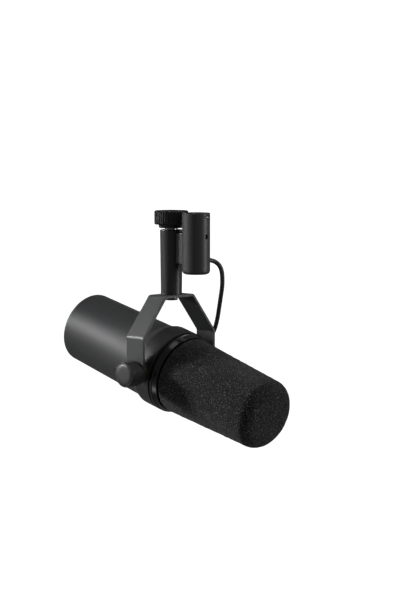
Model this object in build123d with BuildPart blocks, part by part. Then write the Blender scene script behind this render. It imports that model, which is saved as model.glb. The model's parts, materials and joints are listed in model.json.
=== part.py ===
from build123d import *
import math
import os

# End-address broadcast microphone on a yoke, with its socket housing and lead.
# Origin: centre of the stand thread's mouth, on the swivel axis. +Z up, +X the way the
# microphone points, +Y along the tilt axis. Millimetres. The microphone rests tipped forward.

# ---- Driving dimensions ------------------------------------------------------------------
PIVOT_DROP = 115.75  # stand thread's mouth down to the tilt axis
TILT = 15.2  # front end down from level, degrees, as it rests

YOKE_WIDTH = 17.2  # strip's width, along X
YOKE_THICK = 1.9
YOKE_HALF_SPAN = 37.85  # tilt axis centre to a leg's outer face
YOKE_SHOULDER = 25.9  # tilt axis up to the leg's bend
YOKE_HEIGHT = 54.6  # tilt axis up to the top bar's upper face
YOKE_BAR_HALF = 14.8  # half the top bar's outer length
YOKE_BEND = 3.4  # outer bend radius

STEM_BOTTOM_RADIUS = 7.7
STEM_TOP_RADIUS = 8.3
STEM_TOP = 101.9  # tilt axis up to the stem's top
NUT_BOTTOM = 103.1  # tilt axis up to the captive nut's underside
NUT_RADIUS = 12.4
NUT_COLLAR_RADIUS = 9.2
NUT_COLLAR_HEIGHT = 2.5
NUT_RIBS = 40
THREAD_RADIUS = 7.43  # minor radius of a 5/8 inch - 27 stand thread
THREAD_DEPTH = 7.2

HOUSING_X = 24.8  # swivel axis to the socket housing's axis
HOUSING_RADIUS = 10.1
HOUSING_BOTTOM = 70.5  # tilt axis up to the housing's floor
HOUSING_TOP = 114.8  # tilt axis up to the housing's mouth
HOUSING_BORE = 8.4  # bore that takes the plug's nose
SOCKET_DEPTH = 15.0  # mouth down to the contact carrier
PIN_CIRCLE = 4.3
PIN_RADIUS = 1.2

FLANGE_RADIUS = 30.6  # chassis ring
FLANGE_REAR = -6.5
FLANGE_FRONT = 7.0
FLARE_REAR = -13.4
TUBE_JOINT_RADIUS = 28.15  # rear housing where it meets the chassis ring
TUBE_REAR_RADIUS = 26.55
TUBE_REAR = -92.0
TUBE_WALL = 1.6
RING_FRONT = 14.0  # trim ring's front edge
FOAM_REAR = 14.3
FOAM_REAR_RADIUS = 28.4
FOAM_FRONT_RADIUS = 25.4
FOAM_FRONT = 99.8
FOAM_SHOULDER = 9.5

STUD_RADIUS = 3.0
STUD_CLEARANCE = 0.05
KNOB_RADIUS = 9.2
KNOB_INNER = 38.5  # knob's inner face, along Y
KNOB_OUTER = 48.7
LEAD_RADIUS = 1.65

# ---- Frames that the sub-parts share -----------------------------------------------------
tilt_angle = math.radians(TILT)
pivot = Vector(0, 0, -PIVOT_DROP)
aim = Vector(math.cos(tilt_angle), 0, -math.sin(tilt_angle))
mic_axis = Axis(pivot, aim)
lengthwise = Plane(origin=pivot, x_dir=aim, z_dir=(0, -1, 0))


def level(height):
    """A horizontal plane at a height above the tilt axis."""
    return Plane.XY.offset(height - PIVOT_DROP)


def station(distance):
    """A plane square to the microphone, ahead of the tilt axis: its x is +Y, its y is up."""
    return Plane(origin=pivot + aim * distance, x_dir=(0, 1, 0), z_dir=aim)


def crosswise(y):
    """A plane square to the tilt axis, at y along it: its x is +X and its y is up."""
    return Plane(origin=(0, y, -PIVOT_DROP), x_dir=(1, 0, 0), z_dir=(0, -1, 0))


def blend_radius(distance, rear, rear_radius, front, front_radius):
    """Radius of a straight taper at a distance along the microphone."""
    share = (distance - rear) / (front - rear)
    return rear_radius + share * (front_radius - rear_radius)


def save(part, label):
    part.label = label
    export_step(part, f"parts/{label}.step")


os.makedirs("parts", exist_ok=True)

# ---- Captive nut: ribbed grip, stand thread above, thrust floor and collar below ---------
nut_shoulder = NUT_BOTTOM + NUT_COLLAR_HEIGHT
nut_height = PIVOT_DROP - nut_shoulder
HEAD_RECESS = 1.9
HEAD_RECESS_RADIUS = 7.1
nut_floor = PIVOT_DROP - THREAD_DEPTH - HEAD_RECESS
NECK_RADIUS = 4.7
RIB_GROOVE_RADIUS = 0.55
RIB_GROOVE_OUT = 0.15
NUT_RIM_CHAMFER = 0.7
COLLAR_CHAMFER = 0.6

with BuildPart() as captive_nut:
    with BuildSketch(level(nut_shoulder)):
        Circle(NUT_RADIUS)
        with PolarLocations(NUT_RADIUS + RIB_GROOVE_OUT, NUT_RIBS):
            Circle(RIB_GROOVE_RADIUS, mode=Mode.SUBTRACT)
    extrude(amount=nut_height)
    rim_edges = captive_nut.edges().group_by(Axis.Z)
    chamfer([rim_edges[0], rim_edges[-1]], NUT_RIM_CHAMFER)
    with BuildSketch(level(NUT_BOTTOM)):
        Circle(NUT_COLLAR_RADIUS)
    extrude(amount=NUT_COLLAR_HEIGHT)
    chamfer(captive_nut.edges().group_by(Axis.Z)[0], COLLAR_CHAMFER)
    with BuildSketch(level(PIVOT_DROP)):
        Circle(THREAD_RADIUS)
    extrude(amount=-THREAD_DEPTH, mode=Mode.SUBTRACT)
    with BuildSketch(level(nut_floor)):
        Circle(HEAD_RECESS_RADIUS)
    extrude(amount=HEAD_RECESS, mode=Mode.SUBTRACT)
    with BuildSketch(level(NUT_BOTTOM)):
        Circle(NECK_RADIUS + STUD_CLEARANCE)
    extrude(amount=nut_floor - NUT_BOTTOM, mode=Mode.SUBTRACT)
save(captive_nut.part, "captive_nut")

# ---- Swivel bush: its head turns on the nut's floor, its shank screws into the stem -------
BUSH_HEAD_RADIUS = 6.8
BUSH_HEAD = 1.6
BUSH_SHANK_RADIUS = 4.0
BUSH_SHANK = 9.0
BUSH_SOCKET_RADIUS = 2.4  # hexagon drive
HEAD_GAP = 0.05

with BuildPart() as swivel_bush:
    with BuildSketch(level(nut_floor + HEAD_GAP)):
        Circle(BUSH_HEAD_RADIUS)
    extrude(amount=BUSH_HEAD)
    with BuildSketch(level(STEM_TOP)):
        Circle(NECK_RADIUS)
    extrude(amount=nut_floor + HEAD_GAP - STEM_TOP)
    with BuildSketch(level(STEM_TOP - BUSH_SHANK)):
        Circle(BUSH_SHANK_RADIUS)
    extrude(amount=BUSH_SHANK)
    with BuildSketch(level(nut_floor + HEAD_GAP + BUSH_HEAD)):
        RegularPolygon(BUSH_SOCKET_RADIUS, 6)
    extrude(amount=-BUSH_HEAD, mode=Mode.SUBTRACT)
save(swivel_bush.part, "swivel_bush")

# ---- Stem: turned post, slightly thicker at the top ---------------------------------------
BOLT_RADIUS = 3.0
BOLT_REACH = 11.0
BRACKET_BOTTOM = 77.7
BRACKET_TOP = 100.2
BRACKET_THICK = 6.0
BRACKET_SCREW_RADIUS = 1.5
bracket_screw_heights = [BRACKET_BOTTOM + 5.5, BRACKET_BOTTOM + 12.5]
stem_side = Plane(origin=(0, 0, -PIVOT_DROP), x_dir=(0, 1, 0), z_dir=(1, 0, 0))
SCREW_HEAD_RADIUS = 2.6
SCREW_START = -STEM_TOP_RADIUS - 0.4
SCREW_HEAD_DEPTH = 1.9
SCREW_REACH = 12.6
SCREW_SOCKET_RADIUS = 1.3
SCREW_SOCKET_DEPTH = 1.1
STEM_TOP_FILLET = 0.8

with BuildPart() as stem:
    with BuildSketch(level(YOKE_HEIGHT)):
        Circle(STEM_BOTTOM_RADIUS)
    with BuildSketch(level(STEM_TOP)):
        Circle(STEM_TOP_RADIUS)
    loft()
    fillet(stem.edges().group_by(Axis.Z)[-1], STEM_TOP_FILLET)
    with Locations((0, 0, STEM_TOP - PIVOT_DROP)):
        Hole(BUSH_SHANK_RADIUS, depth=BUSH_SHANK)
    with BuildSketch(level(YOKE_HEIGHT)):
        Circle(BOLT_RADIUS)
    extrude(amount=BOLT_REACH, mode=Mode.SUBTRACT)
    with BuildSketch(stem_side.offset(SCREW_START)):
        with Locations([(0, height) for height in bracket_screw_heights]):
            Circle(BRACKET_SCREW_RADIUS)
    extrude(amount=2 * STEM_TOP_RADIUS + 1, mode=Mode.SUBTRACT)
    with BuildSketch(stem_side.offset(SCREW_START)):
        with Locations([(0, height) for height in bracket_screw_heights]):
            Circle(SCREW_HEAD_RADIUS)
    extrude(amount=SCREW_HEAD_DEPTH, mode=Mode.SUBTRACT)
save(stem.part, "stem")

# ---- Yoke: one strip bent four times, hanging from the stem -------------------------------
across = Plane(origin=pivot, x_dir=(0, 1, 0), z_dir=(1, 0, 0))
LEG_END_RADIUS = YOKE_WIDTH / 2 - 0.1
BAR_EDGE_FILLET = 0.3
yoke_outline = [
    (-YOKE_HALF_SPAN, -YOKE_WIDTH / 2),
    (-YOKE_HALF_SPAN, YOKE_SHOULDER),
    (-YOKE_BAR_HALF, YOKE_HEIGHT),
    (YOKE_BAR_HALF, YOKE_HEIGHT),
    (YOKE_HALF_SPAN, YOKE_SHOULDER),
    (YOKE_HALF_SPAN, -YOKE_WIDTH / 2),
]

with BuildPart() as yoke:
    with BuildSketch(across):
        with BuildLine():
            strip = FilletPolyline(*yoke_outline, radius=YOKE_BEND)
            offset(strip, amount=YOKE_THICK, side=Side.RIGHT)
        make_face()
    extrude(amount=YOKE_WIDTH / 2, both=True)
    leg_ends = yoke.edges().filter_by(Axis.Y).group_by(Axis.Z)[0]
    fillet(leg_ends, LEG_END_RADIUS)
    with BuildSketch(crosswise(-YOKE_HALF_SPAN - 1)):
        Circle(STUD_RADIUS + STUD_CLEARANCE)
    extrude(amount=-2 * YOKE_HALF_SPAN - 2, mode=Mode.SUBTRACT)
    with BuildSketch(level(YOKE_HEIGHT + 1)):
        Circle(BOLT_RADIUS)
    extrude(amount=-YOKE_THICK - 2, mode=Mode.SUBTRACT)
    bar_edges = yoke.edges().filter_by(GeomType.LINE).filter_by(Axis.Y).group_by(Axis.Z)[-1]
    fillet(bar_edges, BAR_EDGE_FILLET)
save(yoke.part, "yoke_strap")

# ---- Yoke bolt and its lock washer, up through the bar into the stem ----------------------
BOLT_HEAD_RADIUS = 4.6
WASHER_THICK = 0.7
BOLT_HEAD = 1.7
BOLT_HEAD_FILLET = 0.6
BOLT_SOCKET_RADIUS = 2.0
BOLT_SOCKET_DEPTH = 1.2
bar_underside = YOKE_HEIGHT - YOKE_THICK

with BuildPart() as bolt_washer:
    with BuildSketch(level(bar_underside)):
        Circle(BOLT_HEAD_RADIUS + 0.3)
        Circle(BOLT_RADIUS, mode=Mode.SUBTRACT)
    extrude(amount=-WASHER_THICK)
save(bolt_washer.part, "yoke_bolt_washer")

with BuildPart() as yoke_bolt:
    with BuildSketch(level(bar_underside - WASHER_THICK)):
        Circle(BOLT_HEAD_RADIUS)
    extrude(amount=-BOLT_HEAD)
    fillet(yoke_bolt.edges().group_by(Axis.Z)[0], BOLT_HEAD_FILLET)
    with BuildSketch(level(bar_underside - WASHER_THICK)):
        Circle(BOLT_RADIUS)
    extrude(amount=BOLT_REACH + YOKE_THICK + WASHER_THICK)
    with BuildSketch(level(bar_underside - WASHER_THICK - BOLT_HEAD)):
        RegularPolygon(BOLT_SOCKET_RADIUS, 6)
    extrude(amount=BOLT_SOCKET_DEPTH, mode=Mode.SUBTRACT)
save(yoke_bolt.part, "yoke_bolt")

# ---- Socket housing: a cup with a latch window, screwed to the bracket --------------------
FLOOR_THICK = 3.0
INSERT_THICK = 6.0
insert_top = HOUSING_TOP - SOCKET_DEPTH
insert_bottom = insert_top - INSERT_THICK
INSERT_SCREW_HEIGHT = insert_top - 1.9
INSERT_SCREW_RADIUS = 1.7
INSERT_SCREW_SUNK = 1.6
LATCH_DROP = 2.6
LATCH_WIDE = 5.6
LATCH_TALL = 2.0
CABLE_EXIT_HEIGHT = 80.1
HOUSING_FOOT_FILLET = 3.0
HOUSING_MOUTH_CHAMFER = 0.4
GROMMET_HOLE = 2.2
FAR_SIDE = Plane(origin=(HOUSING_X, 0, -PIVOT_DROP), x_dir=(-1, 0, 0), z_dir=(0, 1, 0))
FRONT_SIDE = Plane(origin=(HOUSING_X, 0, -PIVOT_DROP), x_dir=(0, 1, 0), z_dir=(1, 0, 0))
housing_screw_height = BRACKET_BOTTOM + 9.0

with BuildPart() as socket_housing:
    with Locations((HOUSING_X, 0, HOUSING_BOTTOM - PIVOT_DROP)):
        Cylinder(
            HOUSING_RADIUS,
            HOUSING_TOP - HOUSING_BOTTOM,
            align=(Align.CENTER, Align.CENTER, Align.MIN),
        )
    fillet(socket_housing.edges().group_by(Axis.Z)[0], HOUSING_FOOT_FILLET)
    chamfer(socket_housing.edges().group_by(Axis.Z)[-1], HOUSING_MOUTH_CHAMFER)
    with Locations((HOUSING_X, 0, HOUSING_TOP - PIVOT_DROP)):
        Hole(HOUSING_BORE, depth=HOUSING_TOP - HOUSING_BOTTOM - FLOOR_THICK)
    with BuildSketch(FRONT_SIDE):
        with Locations((0, HOUSING_TOP - LATCH_DROP)):
            SlotOverall(LATCH_WIDE, LATCH_TALL)
        with Locations((0, INSERT_SCREW_HEIGHT)):
            Circle(INSERT_SCREW_RADIUS)
    extrude(amount=HOUSING_RADIUS + 1, mode=Mode.SUBTRACT)
    with BuildSketch(FAR_SIDE):
        with Locations((0, CABLE_EXIT_HEIGHT)):
            Circle(GROMMET_HOLE)
    extrude(amount=HOUSING_RADIUS + 1, mode=Mode.SUBTRACT)
    with BuildSketch(FRONT_SIDE):
        with Locations((0, housing_screw_height)):
            Circle(BRACKET_SCREW_RADIUS)
    extrude(amount=-HOUSING_RADIUS - 1, mode=Mode.SUBTRACT)
save(socket_housing.part, "connector_housing")

# ---- Bracket block between the stem and the socket housing --------------------------------
BRACKET_CHAMFER = 0.9
stem_foot = Location((0, 0, YOKE_HEIGHT - PIVOT_DROP))
stem_align = (Align.CENTER, Align.CENTER, Align.MIN)

with BuildPart() as bracket:
    with BuildSketch(level(BRACKET_BOTTOM)):
        with Locations((HOUSING_X / 2, 0)):
            Rectangle(HOUSING_X, BRACKET_THICK)
    extrude(amount=BRACKET_TOP - BRACKET_BOTTOM)
    chamfer(bracket.edges().filter_by(Axis.X).group_by(Axis.Z)[-1], BRACKET_CHAMFER)
    with Locations(stem_foot):
        Cone(
            STEM_BOTTOM_RADIUS,
            STEM_TOP_RADIUS,
            STEM_TOP - YOKE_HEIGHT,
            align=stem_align,
            mode=Mode.SUBTRACT,
        )
    with Locations((HOUSING_X, 0, -PIVOT_DROP + (BRACKET_TOP + BRACKET_BOTTOM) / 2)):
        Cylinder(HOUSING_RADIUS, 2 * (BRACKET_TOP - BRACKET_BOTTOM), mode=Mode.SUBTRACT)
    with BuildSketch(stem_side):
        with Locations([(0, height) for height in bracket_screw_heights]):
            Circle(BRACKET_SCREW_RADIUS)
    extrude(amount=SCREW_REACH, mode=Mode.SUBTRACT)
    with BuildSketch(FRONT_SIDE):
        with Locations((0, housing_screw_height)):
            Circle(BRACKET_SCREW_RADIUS)
    extrude(amount=-HOUSING_X / 2 - 1, mode=Mode.SUBTRACT)
save(bracket.part, "connector_bracket")

# ---- Screws: two through the stem into the bracket, one from inside the housing -----------
with BuildPart() as bracket_screws:
    with BuildSketch(stem_side.offset(SCREW_START + SCREW_HEAD_DEPTH)):
        with Locations([(0, height) for height in bracket_screw_heights]):
            Circle(SCREW_HEAD_RADIUS)
    extrude(amount=-SCREW_HEAD_DEPTH)
    with BuildSketch(stem_side.offset(SCREW_START + SCREW_HEAD_DEPTH)):
        with Locations([(0, height) for height in bracket_screw_heights]):
            Circle(BRACKET_SCREW_RADIUS)
    extrude(amount=SCREW_REACH - SCREW_START - SCREW_HEAD_DEPTH)
    with BuildSketch(stem_side.offset(SCREW_START)):
        with Locations([(0, height) for height in bracket_screw_heights]):
            RegularPolygon(SCREW_SOCKET_RADIUS, 6)
    extrude(amount=SCREW_SOCKET_DEPTH, mode=Mode.SUBTRACT)
save(bracket_screws.part, "bracket_screws")

HOUSING_SCREW_HEAD = 1.5
housing_screw_seat = -math.sqrt(HOUSING_BORE**2 - SCREW_HEAD_RADIUS**2)
with BuildPart() as housing_screw:
    with BuildSketch(FRONT_SIDE.offset(housing_screw_seat)):
        with Locations((0, housing_screw_height)):
            Circle(SCREW_HEAD_RADIUS)
    extrude(amount=HOUSING_SCREW_HEAD)
    with BuildSketch(FRONT_SIDE.offset(housing_screw_seat)):
        with Locations((0, housing_screw_height)):
            Circle(BRACKET_SCREW_RADIUS)
    extrude(amount=-(HOUSING_X / 2 + 1 + housing_screw_seat))
save(housing_screw.part, "housing_screw")

# ---- Contact carrier and three pins, held by a side screw ---------------------------------
pin_angles = [70, 180, 290]
pin_places = [
    (PIN_CIRCLE * math.cos(math.radians(a)), PIN_CIRCLE * math.sin(math.radians(a)))
    for a in pin_angles
]
PIN_ABOVE = 12.5
PIN_BELOW = 4.5
PIN_CHAMFER = 0.6
SCREW_PLUG = 3.4
SLOT_CUT_WIDTH = 0.6
SLOT_CUT_DEPTH = 0.6
carrier = Plane(origin=(HOUSING_X, 0, insert_bottom - PIVOT_DROP))

with BuildPart() as contact_carrier:
    with BuildSketch(carrier):
        Circle(HOUSING_BORE)
        with Locations(pin_places):
            Circle(PIN_RADIUS, mode=Mode.SUBTRACT)
    extrude(amount=INSERT_THICK)
    with BuildSketch(FRONT_SIDE.offset(HOUSING_RADIUS - SCREW_PLUG)):
        with Locations((0, INSERT_SCREW_HEIGHT)):
            Circle(INSERT_SCREW_RADIUS)
    extrude(amount=SCREW_PLUG, mode=Mode.SUBTRACT)
save(contact_carrier.part, "contact_carrier")

with BuildPart() as contact_pins:
    with BuildSketch(carrier.offset(-PIN_BELOW)):
        with Locations(pin_places):
            Circle(PIN_RADIUS)
    extrude(amount=PIN_BELOW + INSERT_THICK + PIN_ABOVE)
    chamfer(contact_pins.edges().group_by(Axis.Z)[-1], PIN_CHAMFER)
save(contact_pins.part, "contact_pins")

with BuildPart() as carrier_screw:
    with BuildSketch(FRONT_SIDE.offset(HOUSING_RADIUS - SCREW_PLUG)):
        with Locations((0, INSERT_SCREW_HEIGHT)):
            Circle(INSERT_SCREW_RADIUS)
    extrude(amount=SCREW_PLUG - INSERT_SCREW_SUNK)
    with BuildSketch(FRONT_SIDE.offset(HOUSING_RADIUS - INSERT_SCREW_SUNK)):
        with Locations((0, INSERT_SCREW_HEIGHT)):
            Rectangle(SLOT_CUT_WIDTH, 3 * INSERT_SCREW_RADIUS)
    extrude(amount=-SLOT_CUT_DEPTH, mode=Mode.SUBTRACT)
save(carrier_screw.part, "carrier_screw")

# ---- Lead: grommet at the housing, the cable itself ---------------------------------------
GROMMET_FACE = HOUSING_RADIUS + 1.2
GROMMET_INSIDE = HOUSING_BORE - 0.2
RUBBER_FILLET = 0.5
exit_far = FAR_SIDE.offset(GROMMET_INSIDE)

with BuildPart() as lead_grommet:
    with BuildSketch(exit_far):
        with Locations((0, CABLE_EXIT_HEIGHT)):
            Circle(GROMMET_HOLE)
    extrude(amount=GROMMET_FACE - GROMMET_INSIDE)
    fillet(lead_grommet.edges().group_by(Axis.Y)[-1], RUBBER_FILLET)
save(lead_grommet.part, "lead_grommet")

GLAND_STATION = -18.0
GLAND_OUTER = 31.0
GLAND_RADIUS = 3.1
GLAND_HUB_RADIUS = 2.4
GLAND_INNER = 21.0
lead_end = pivot + aim * GLAND_STATION
lead_end_height = lead_end.Z + PIVOT_DROP
LEAD_GAP = 0.35
# Route of the lead above the tilt axis (x, y, height): out of the housing, down outside the
# far leg, behind it and in to the gland on the chassis ring.
lead_route = [
    (HOUSING_X, GROMMET_FACE, CABLE_EXIT_HEIGHT),
    (HOUSING_X, 17.6, CABLE_EXIT_HEIGHT),
    (28.8, 22.8, 74.9),
    (26.8, 26.2, 62.5),
    (20.6, 30.9, 52.0),
    (6.6, 41.6, 29.4),
    (-1.6, 44.6, 19.6),
    (-11.6, 43.6, 11.4),
    (lead_end.X, 38.4, lead_end_height),
    (lead_end.X, GLAND_OUTER + LEAD_GAP, lead_end_height),
]
route_points = [Vector(x, y, height - PIVOT_DROP) for x, y, height in lead_route]
lead_radii = []
for before, corner, after in zip(route_points, route_points[1:], route_points[2:]):
    shorter = min((corner - before).length, (after - corner).length)
    half_turn = math.radians((corner - before).get_angle(after - corner)) / 2
    lead_radii.append(0.45 * shorter / math.tan(half_turn))
print("lead radii", [round(radius, 1) for radius in lead_radii])
print("lead runs", [round((b - a).length, 1) for a, b in zip(route_points, route_points[1:])])

with BuildPart() as lead:
    with BuildLine():
        lead_path = FilletPolyline(*route_points, radius=lead_radii)
    with BuildSketch(Plane(origin=lead_path @ 0, z_dir=lead_path % 0)):
        Circle(LEAD_RADIUS)
    sweep()
lead_section = math.pi * LEAD_RADIUS**2
print("lead length", round(lead_path.length, 1))
print("lead volume", round(lead.part.volume), "expected", round(lead_section * lead_path.length))
save(lead.part, "lead_cable")

# ---- Rear housing: tapered can with a shallow pocket for the switch plate -----------------
REAR_WALL = 3.2
REAR_EDGE = 3.0
PLATE_WIDE = 34.0
PLATE_TALL = 15.0
PLATE_THICK = 1.2
POCKET_DEPTH = 1.3
WINDOW_WIDE = 24.0
WINDOW_TALL = 10.0
CORNER = 2.0
PLATE_SCREW_INSET = 2.4
PLATE_SCREW_RADIUS = 0.8
plate_screw_x = PLATE_WIDE / 2 - PLATE_SCREW_INSET
plate_screw_places = [(-plate_screw_x, 0), (plate_screw_x, 0)]
inner_front = TUBE_JOINT_RADIUS - TUBE_WALL
inner_rear = TUBE_REAR_RADIUS - TUBE_WALL
can_outline = [
    (TUBE_REAR, 0),
    (TUBE_REAR, TUBE_REAR_RADIUS),
    (FLARE_REAR, TUBE_JOINT_RADIUS),
    (FLARE_REAR, inner_front),
    (TUBE_REAR + REAR_WALL, inner_rear),
    (TUBE_REAR + REAR_WALL, 0),
]

with BuildPart() as rear_housing:
    with BuildSketch(lengthwise):
        with BuildLine():
            Polyline(*can_outline, close=True)
        make_face()
    revolve(axis=mic_axis)
    rear_edges = rear_housing.edges().filter_by(GeomType.CIRCLE).group_by(mic_axis)[0]
    fillet(rear_edges, REAR_EDGE)
    with BuildSketch(station(TUBE_REAR)):
        RectangleRounded(PLATE_WIDE, PLATE_TALL, CORNER)
    extrude(amount=POCKET_DEPTH, mode=Mode.SUBTRACT)
    with BuildSketch(station(TUBE_REAR)):
        RectangleRounded(WINDOW_WIDE, WINDOW_TALL, CORNER)
    extrude(amount=REAR_WALL + 1, mode=Mode.SUBTRACT)
    with BuildSketch(station(TUBE_REAR)):
        with Locations(plate_screw_places):
            Circle(PLATE_SCREW_RADIUS)
    extrude(amount=REAR_WALL, mode=Mode.SUBTRACT)
    with BuildSketch(crosswise(GLAND_OUTER)):
        with Locations((lead_end.X, lead_end_height)):
            Circle(GLAND_RADIUS)
    extrude(amount=GLAND_OUTER - GLAND_INNER, mode=Mode.SUBTRACT)
save(rear_housing.part, "rear_housing")

# ---- Switch plate, its two screws, switch bodies and their sliders ------------------------
SLOT_LONG = 7.6
SLOT_TALL = 3.4
SWITCH_SPACING = 12.0
SLIDER_TRAVEL = 3.2
SLIDER_LONG = 3.2
SLIDER_TALL = 2.8
SLIDER_PROUD = 0.8
SWITCH_DEPTH = 6.0
SWITCH_LONG = 10.6
SWITCH_TALL = 6.4
PLATE_FIT = 0.1
SCREW_DISC_RADIUS = 1.5
SCREW_DISC = 0.7
PLATE_SCREW_LENGTH = 2.2
CROSS_LONG = 2.2
CROSS_WIDE = 0.5
CROSS_DEPTH = 0.45
SLIDER_ROOM = 0.8
SLIDER_ROOT = 2.1
SLIDER_WELL = 2.4
SLIDER_CHAMFER = 0.35
switch_front = TUBE_REAR + REAR_WALL + 0.3
plate_inner = TUBE_REAR + POCKET_DEPTH

with BuildPart() as switch_plate:
    with BuildSketch(station(plate_inner - PLATE_THICK)):
        RectangleRounded(PLATE_WIDE - PLATE_FIT, PLATE_TALL - PLATE_FIT, CORNER)
        with Locations((-SWITCH_SPACING / 2, 0), (SWITCH_SPACING / 2, 0)):
            Rectangle(SLOT_LONG, SLOT_TALL, mode=Mode.SUBTRACT)
        with Locations(plate_screw_places):
            Circle(PLATE_SCREW_RADIUS, mode=Mode.SUBTRACT)
    extrude(amount=PLATE_THICK)
    with BuildSketch(station(plate_inner - PLATE_THICK)):
        with Locations(plate_screw_places):
            Circle(SCREW_DISC_RADIUS)
    extrude(amount=SCREW_DISC, mode=Mode.SUBTRACT)
save(switch_plate.part, "switch_plate")

with BuildPart() as plate_screws:
    with BuildSketch(station(plate_inner - PLATE_THICK)):
        with Locations(plate_screw_places):
            Circle(SCREW_DISC_RADIUS)
    extrude(amount=SCREW_DISC)
    with BuildSketch(station(plate_inner - PLATE_THICK + SCREW_DISC)):
        with Locations(plate_screw_places):
            Circle(PLATE_SCREW_RADIUS)
    extrude(amount=PLATE_SCREW_LENGTH)
    with BuildSketch(station(plate_inner - PLATE_THICK)):
        with Locations(plate_screw_places):
            Rectangle(CROSS_LONG, CROSS_WIDE)
            Rectangle(CROSS_WIDE, CROSS_LONG)
    extrude(amount=CROSS_DEPTH, mode=Mode.SUBTRACT)
save(plate_screws.part, "plate_screws")

for side, switch_name in ((-1, "bass_switch"), (1, "presence_switch")):
    middle = side * SWITCH_SPACING / 2
    rest = middle - SLIDER_TRAVEL / 2
    with BuildPart() as switch_body:
        with BuildSketch(station(switch_front)):
            with Locations((middle, 0)):
                Rectangle(SWITCH_LONG, SWITCH_TALL)
        extrude(amount=SWITCH_DEPTH)
        with BuildSketch(station(switch_front)):
            with Locations((middle, 0)):
                Rectangle(SLIDER_LONG + SLIDER_TRAVEL + SLIDER_ROOM, SLIDER_TALL + SLIDER_ROOM)
        extrude(amount=SLIDER_WELL, mode=Mode.SUBTRACT)
    save(switch_body.part, f"{switch_name}_body")
    with BuildPart() as slider:
        with BuildSketch(station(switch_front + SLIDER_ROOT)):
            with Locations((rest, 0)):
                Rectangle(SLIDER_LONG, SLIDER_TALL)
        extrude(amount=-(switch_front + SLIDER_ROOT - TUBE_REAR + SLIDER_PROUD))
        outer_edges = slider.edges().group_by(mic_axis)[0]
        chamfer(outer_edges, SLIDER_CHAMFER)
    save(slider.part, switch_name)

# ---- Chassis ring: flared flange with bosses for the pivot studs --------------------------
CHASSIS_BORE = 24.4
SPIGOT_REAR = -27.0
BOSS_RADIUS = 7.4
BOSS_FACE = 32.6
RING_SEAT_RADIUS = 27.6
RING_SEAT_FRONT = 12.6
GLAND_SEAT = 26.0
FLANGE_FILLET = 1.4
RIM_FILLET = 0.4
BOSS_SUNK = 3.0
spigot_front_radius = blend_radius(FLARE_REAR, TUBE_REAR + REAR_WALL, inner_rear, FLARE_REAR, inner_front)
spigot_rear_radius = blend_radius(SPIGOT_REAR, TUBE_REAR + REAR_WALL, inner_rear, FLARE_REAR, inner_front)
chassis_outline = [
    (SPIGOT_REAR, CHASSIS_BORE),
    (SPIGOT_REAR, spigot_rear_radius),
    (FLARE_REAR, spigot_front_radius),
    (FLARE_REAR, TUBE_JOINT_RADIUS),
    (FLANGE_REAR, FLANGE_RADIUS),
    (FLANGE_FRONT, FLANGE_RADIUS),
    (FLANGE_FRONT, RING_SEAT_RADIUS),
    (RING_SEAT_FRONT, RING_SEAT_RADIUS),
    (RING_SEAT_FRONT, CHASSIS_BORE),
]

with BuildPart() as chassis_ring:
    with BuildSketch(lengthwise):
        with BuildLine():
            Polyline(*chassis_outline, close=True)
        make_face()
    revolve(axis=mic_axis)
    flange_edges = chassis_ring.edges().filter_by(GeomType.CIRCLE).sort_by(SortBy.RADIUS)[-2:]
    fillet(flange_edges.sort_by(mic_axis)[0], FLANGE_FILLET)
    rim_circles = chassis_ring.edges().filter_by(GeomType.CIRCLE).sort_by(SortBy.RADIUS)[-2:]
    fillet(rim_circles.sort_by(mic_axis)[-1], RIM_FILLET)
    for face_y in (-BOSS_FACE, BOSS_FACE):
        inward = math.copysign(BOSS_FACE - CHASSIS_BORE - BOSS_SUNK, face_y)
        with BuildSketch(crosswise(face_y)):
            Circle(BOSS_RADIUS)
        extrude(amount=inward)
    with BuildSketch(crosswise(-FLANGE_RADIUS - 5)):
        Circle(STUD_RADIUS)
    extrude(amount=-2 * FLANGE_RADIUS - 10, mode=Mode.SUBTRACT)
    with BuildSketch(crosswise(GLAND_OUTER)):
        with Locations((lead_end.X, lead_end_height)):
            Circle(GLAND_HUB_RADIUS)
    extrude(amount=GLAND_OUTER - GLAND_INNER, mode=Mode.SUBTRACT)
    with BuildSketch(crosswise(GLAND_OUTER)):
        with Locations((lead_end.X, lead_end_height)):
            Circle(GLAND_RADIUS)
    extrude(amount=GLAND_OUTER - GLAND_SEAT, mode=Mode.SUBTRACT)
save(chassis_ring.part, "chassis_ring")

# ---- Gland where the lead enters the chassis ring -----------------------------------------
with BuildPart() as lead_gland:
    with BuildSketch(crosswise(GLAND_OUTER)):
        with Locations((lead_end.X, lead_end_height)):
            Circle(GLAND_RADIUS)
    extrude(amount=GLAND_OUTER - GLAND_SEAT)
    with BuildSketch(crosswise(GLAND_SEAT)):
        with Locations((lead_end.X, lead_end_height)):
            Circle(GLAND_HUB_RADIUS)
    extrude(amount=GLAND_SEAT - GLAND_INNER - 0.4)
    fillet(lead_gland.edges().group_by(Axis.Y)[-1], RUBBER_FILLET)
save(lead_gland.part, "lead_gland")

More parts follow.
